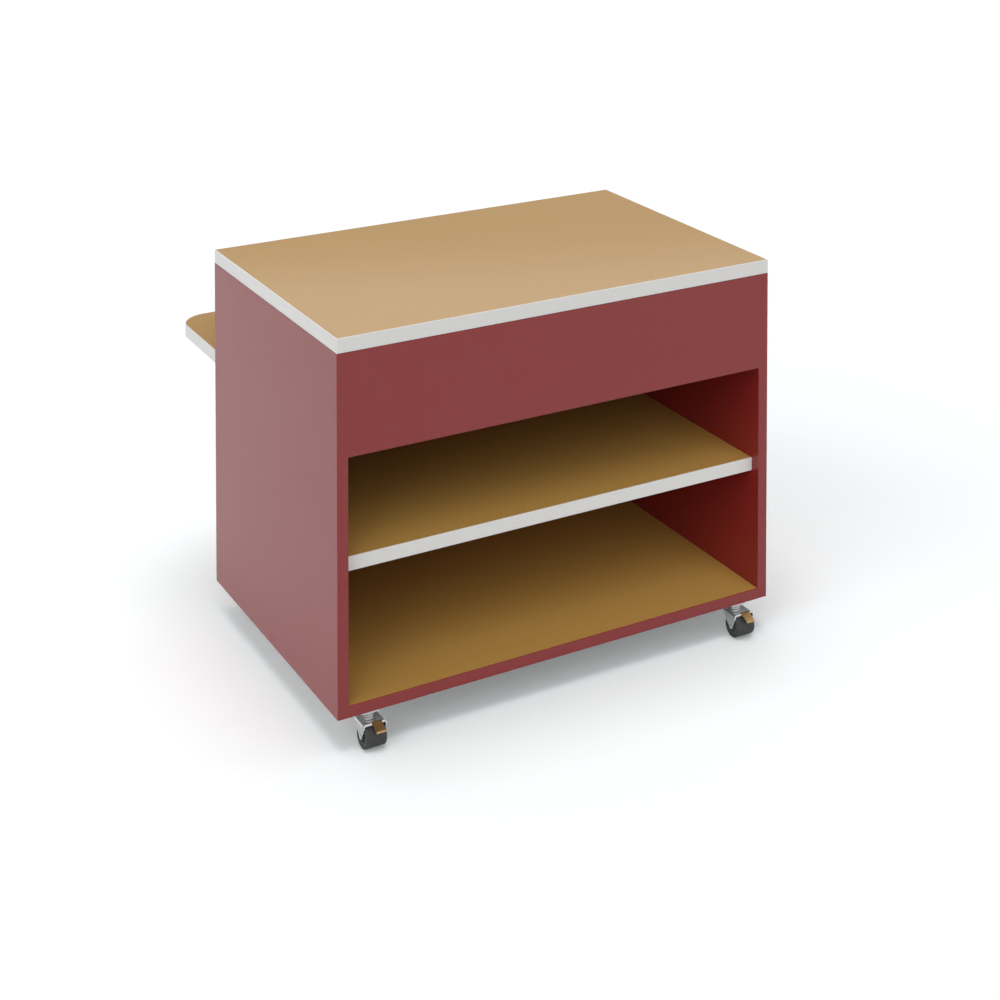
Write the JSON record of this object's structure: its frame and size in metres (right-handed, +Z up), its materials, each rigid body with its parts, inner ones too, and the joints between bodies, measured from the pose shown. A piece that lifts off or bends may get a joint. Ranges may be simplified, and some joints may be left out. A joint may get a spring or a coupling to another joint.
{
  "type": "mobile canteen counter",
  "caption": "Mobile canteen counter: a laminated board carcass with a worktop, an open front with a shelf, a tray shelf behind, and braked swivel casters.",
  "frame": {"origin": "on the floor, under the middle of the whole counter's box", "axes": "+X along the width, to the right as seen from the open side; +Y towards the tray shelf; +Z up"},
  "size_m": [1.1, 1.0024, 0.87],
  "materials": {
    "red_laminate": "dark red laminated board, satin",
    "tan_laminate": "tan laminated board, satin",
    "red_edging": "dark red edging strip, satin",
    "pale_edging": "light grey edging strip, satin",
    "zinc_steel": "bright zinc plated",
    "bracket_steel": "grey powder coat",
    "chrome": "chromed",
    "yellow_steel": "yellow passivated zinc",
    "wheel_plastic": "moulded, dark grey",
    "tyre_rubber": "matt dark grey"
  },
  "bodies": {
    "counter": {"left_side_panel": "red_laminate", "left_side_edging": "red_edging", "right_side_panel": "red_laminate", "right_side_edging": "red_edging", "bottom_panel": "tan_laminate", "bottom_edging": "red_edging", "back_panel": "red_laminate", "fascia_panel": "red_laminate", "fascia_edging": "red_edging", "middle_shelf": "tan_laminate", "shelf_edging": "pale_edging", "shelf_angle_left_front": "zinc_steel", "shelf_angle_left_rear": "zinc_steel", "shelf_angle_right_front": "zinc_steel", "shelf_angle_right_rear": "zinc_steel", "worktop_board": "tan_laminate", "worktop_front_edging": "pale_edging", "worktop_rear_edging": "pale_edging", "worktop_left_edging": "pale_edging", "worktop_right_edging": "pale_edging", "tray_board": "tan_laminate", "tray_edging": "pale_edging", "tray_bracket_left": "bracket_steel", "tray_bracket_middle": "bracket_steel", "tray_bracket_right": "bracket_steel", "caster_front_left_plate": "zinc_steel", "caster_front_left_bearing": "zinc_steel", "caster_front_left_kingpin": "zinc_steel", "caster_front_right_plate": "zinc_steel", "caster_front_right_bearing": "zinc_steel", "caster_front_right_kingpin": "zinc_steel", "caster_rear_left_plate": "zinc_steel", "caster_rear_left_bearing": "zinc_steel", "caster_rear_left_kingpin": "zinc_steel", "caster_rear_right_plate": "zinc_steel", "caster_rear_right_bearing": "zinc_steel", "caster_rear_right_kingpin": "zinc_steel"},
    "caster_front_left_swivel": {"caster_front_left_fork": "chrome", "caster_front_left_axle": "zinc_steel", "caster_front_left_pedal_pin": "zinc_steel"},
    "caster_front_left_wheel": {"caster_front_left_wheel_core": "wheel_plastic", "caster_front_left_tyre": "tyre_rubber"},
    "caster_front_left_brake": {"caster_front_left_brake_pedal": "yellow_steel"},
    "caster_front_right_swivel": {"caster_front_right_fork": "chrome", "caster_front_right_axle": "zinc_steel", "caster_front_right_pedal_pin": "zinc_steel"},
    "caster_front_right_wheel": {"caster_front_right_wheel_core": "wheel_plastic", "caster_front_right_tyre": "tyre_rubber"},
    "caster_front_right_brake": {"caster_front_right_brake_pedal": "yellow_steel"},
    "caster_rear_left_swivel": {"caster_rear_left_fork": "chrome", "caster_rear_left_axle": "zinc_steel"},
    "caster_rear_left_wheel": {"caster_rear_left_wheel_core": "wheel_plastic", "caster_rear_left_tyre": "tyre_rubber"},
    "caster_rear_right_swivel": {"caster_rear_right_fork": "chrome", "caster_rear_right_axle": "zinc_steel"},
    "caster_rear_right_wheel": {"caster_rear_right_wheel_core": "wheel_plastic", "caster_rear_right_tyre": "tyre_rubber"}
  },
  "joints": [
    {"name": "caster_front_left_turn", "type": "hinge", "parent": "counter", "child": "caster_front_left_swivel", "pos_m": [-0.473, -0.44084, 0.0562], "axis": [0, 0, 1], "continuous": true},
    {"name": "caster_front_left_roll", "type": "hinge", "parent": "caster_front_left_swivel", "child": "caster_front_left_wheel", "pos_m": [-0.473, -0.46435, 0.025], "axis": [1, 0, 0], "continuous": true},
    {"name": "caster_front_left_brake_tip", "type": "hinge", "parent": "caster_front_left_swivel", "child": "caster_front_left_brake", "pos_m": [-0.473, -0.47685, 0.0516], "axis": [1, 0, 0], "range_deg": [0, 20]},
    {"name": "caster_front_right_turn", "type": "hinge", "parent": "counter", "child": "caster_front_right_swivel", "pos_m": [0.473, -0.44084, 0.0562], "axis": [0, 0, 1], "continuous": true},
    {"name": "caster_front_right_roll", "type": "hinge", "parent": "caster_front_right_swivel", "child": "caster_front_right_wheel", "pos_m": [0.473, -0.46435, 0.025], "axis": [1, 0, 0], "continuous": true},
    {"name": "caster_front_right_brake_tip", "type": "hinge", "parent": "caster_front_right_swivel", "child": "caster_front_right_brake", "pos_m": [0.473, -0.47685, 0.0516], "axis": [1, 0, 0], "range_deg": [0, 20]},
    {"name": "caster_rear_left_turn", "type": "hinge", "parent": "counter", "child": "caster_rear_left_swivel", "pos_m": [-0.473, 0.21516, 0.0562], "axis": [0, 0, 1], "continuous": true},
    {"name": "caster_rear_left_roll", "type": "hinge", "parent": "caster_rear_left_swivel", "child": "caster_rear_left_wheel", "pos_m": [-0.473, 0.19165, 0.025], "axis": [1, 0, 0], "continuous": true},
    {"name": "caster_rear_right_turn", "type": "hinge", "parent": "counter", "child": "caster_rear_right_swivel", "pos_m": [0.473, 0.21516, 0.0562], "axis": [0, 0, 1], "continuous": true},
    {"name": "caster_rear_right_roll", "type": "hinge", "parent": "caster_rear_right_swivel", "child": "caster_rear_right_wheel", "pos_m": [0.473, 0.19165, 0.025], "axis": [1, 0, 0], "continuous": true}
  ]
}
